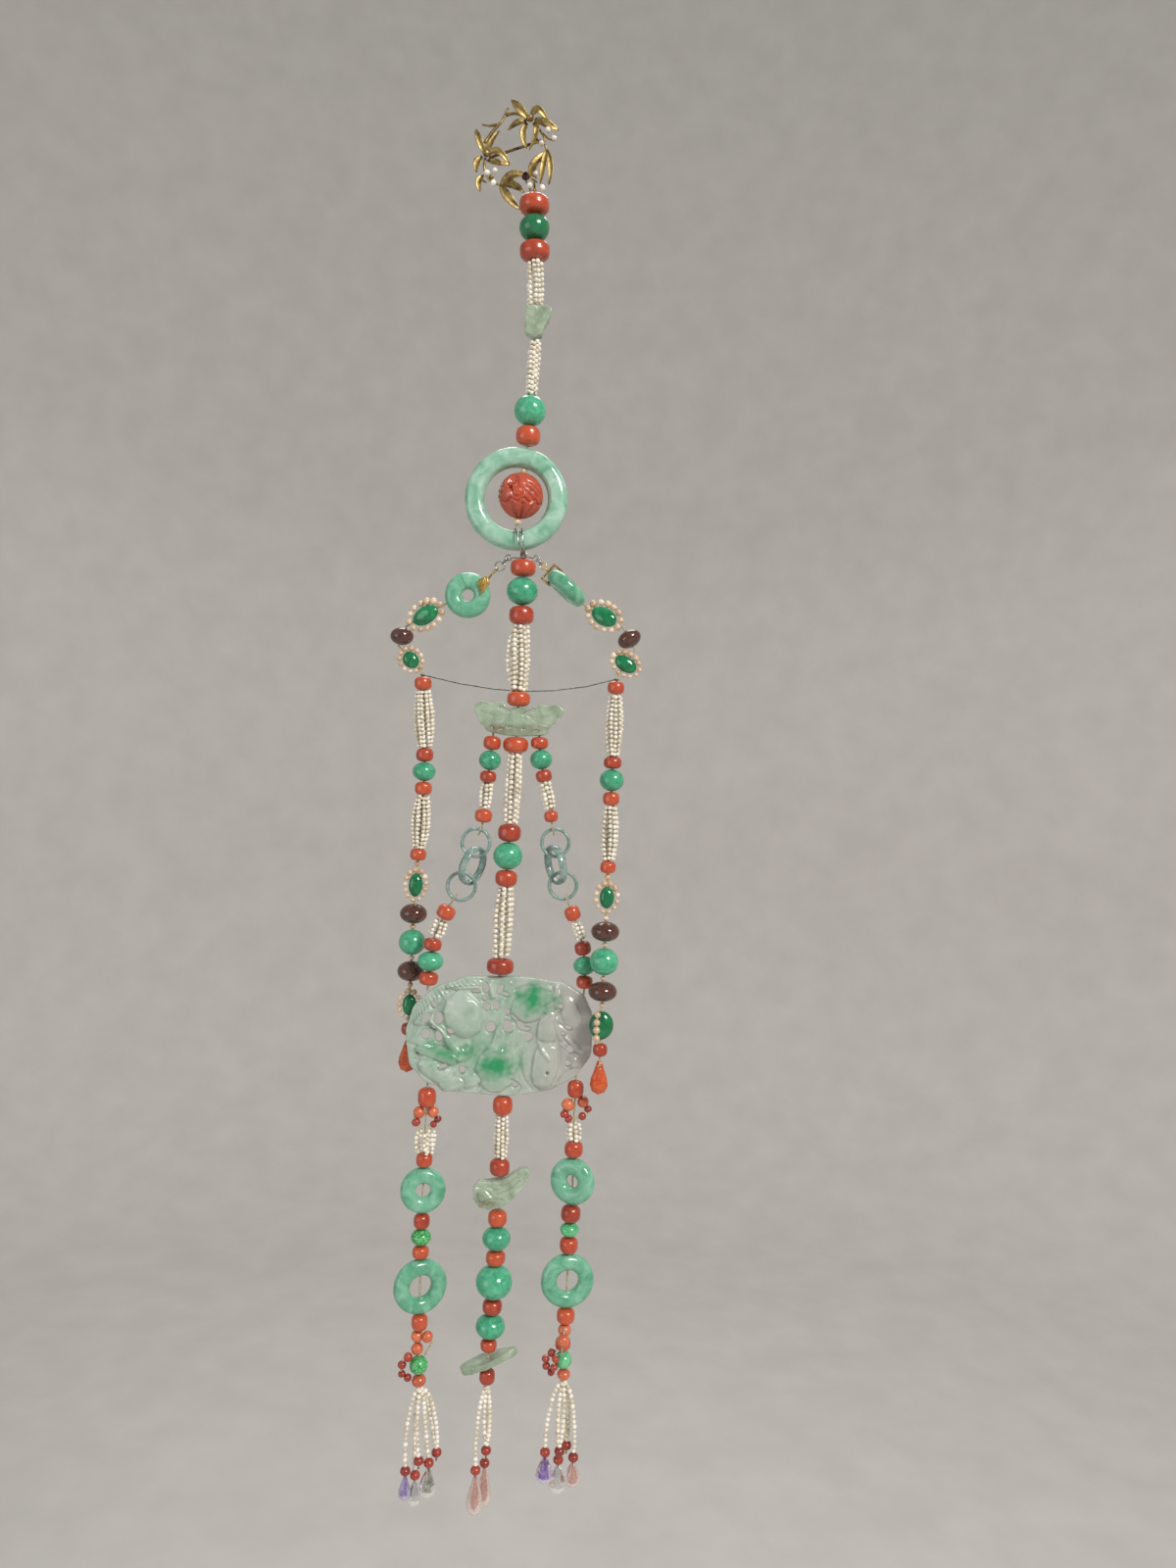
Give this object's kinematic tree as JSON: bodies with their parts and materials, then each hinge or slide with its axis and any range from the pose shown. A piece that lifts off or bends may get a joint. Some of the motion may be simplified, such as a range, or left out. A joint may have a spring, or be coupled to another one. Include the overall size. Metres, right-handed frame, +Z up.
{
  "type": "chatelaine",
  "caption": "Long hanging chatelaine of carved jade, coral, seed pearls and stones under a gold spray brooch, ending in tassels with stone drops.",
  "frame": {"origin": "middle of the brooch pin, where the chatelaine is pinned on", "axes": "+Z up along the hanging strands, -Y towards the viewer, +X to the viewer's right"},
  "size_m": [0.0913, 0.0254, 0.5022],
  "materials": {
    "gold": "worked yellow gold",
    "pearl": "pinkish cream pearl lustre",
    "garnet": "dark red faceted stone",
    "coral": "glossy polished coral, orange red",
    "jade": "polished turquoise green jade, slightly cloudy",
    "seed_pearl": "strings of cream seed pearls",
    "pale_jade": "pale grey-green carved jade with greener patches",
    "ring_jade": "translucent pale green jade with darker mottles",
    "silver": "silver wire",
    "emerald": "deep green faceted stone",
    "smoky": "dark brown polished stone",
    "carnelian": "clear orange carnelian",
    "quartz": "pale lavender and clear faceted quartz",
    "silk": "silk thread"
  },
  "bodies": {
    "root": {"brooch_wreath": "gold", "brooch_pearls": "pearl", "brooch_garnet": "garnet", "brooch_pin": "gold", "neck_coral": "coral", "neck_jade": "jade", "neck_pearls": "seed_pearl", "neck_leaf": "pale_jade", "jade_ring": "ring_jade", "coral_ball": "coral", "accent_pearls": "pearl", "ring_bails": "silver", "shoulder_links": "silver", "shoulder_bails": "gold", "spreader_wire": "silver", "centre_coral": "coral", "centre_jade": "jade", "centre_pearls": "seed_pearl", "butterfly": "pale_jade", "left_donut": "ring_jade", "right_donut": "ring_jade", "left_emeralds": "emerald", "right_emeralds": "emerald", "left_pearl_rings": "pearl", "right_pearl_rings": "pearl", "left_smoky": "smoky", "right_smoky": "smoky", "left_coral": "coral", "right_coral": "coral", "left_arm_jade": "jade", "right_arm_jade": "jade", "left_arm_pearls": "seed_pearl", "right_arm_pearls": "seed_pearl", "left_drop": "carnelian", "right_drop": "carnelian", "inner_left_coral": "coral", "inner_right_coral": "coral", "inner_left_jade": "jade", "inner_right_jade": "jade", "inner_left_pearls": "seed_pearl", "inner_right_pearls": "seed_pearl", "left_chain": "pale_jade", "right_chain": "pale_jade", "plaque": "pale_jade", "lower_left_coral": "coral", "lower_right_coral": "coral", "lower_left_jade": "pale_jade", "lower_right_jade": "pale_jade", "lower_left_donuts": "ring_jade", "lower_right_donuts": "ring_jade", "lower_left_tassel": "seed_pearl", "lower_right_tassel": "seed_pearl", "lower_middle_tassel": "seed_pearl", "lower_pearls": "seed_pearl", "lower_drops": "quartz", "lower_middle_coral": "coral", "lower_middle_jade": "jade", "bird": "pale_jade", "thin_leaf": "pale_jade", "threads": "silk"}
  },
  "joints": []
}
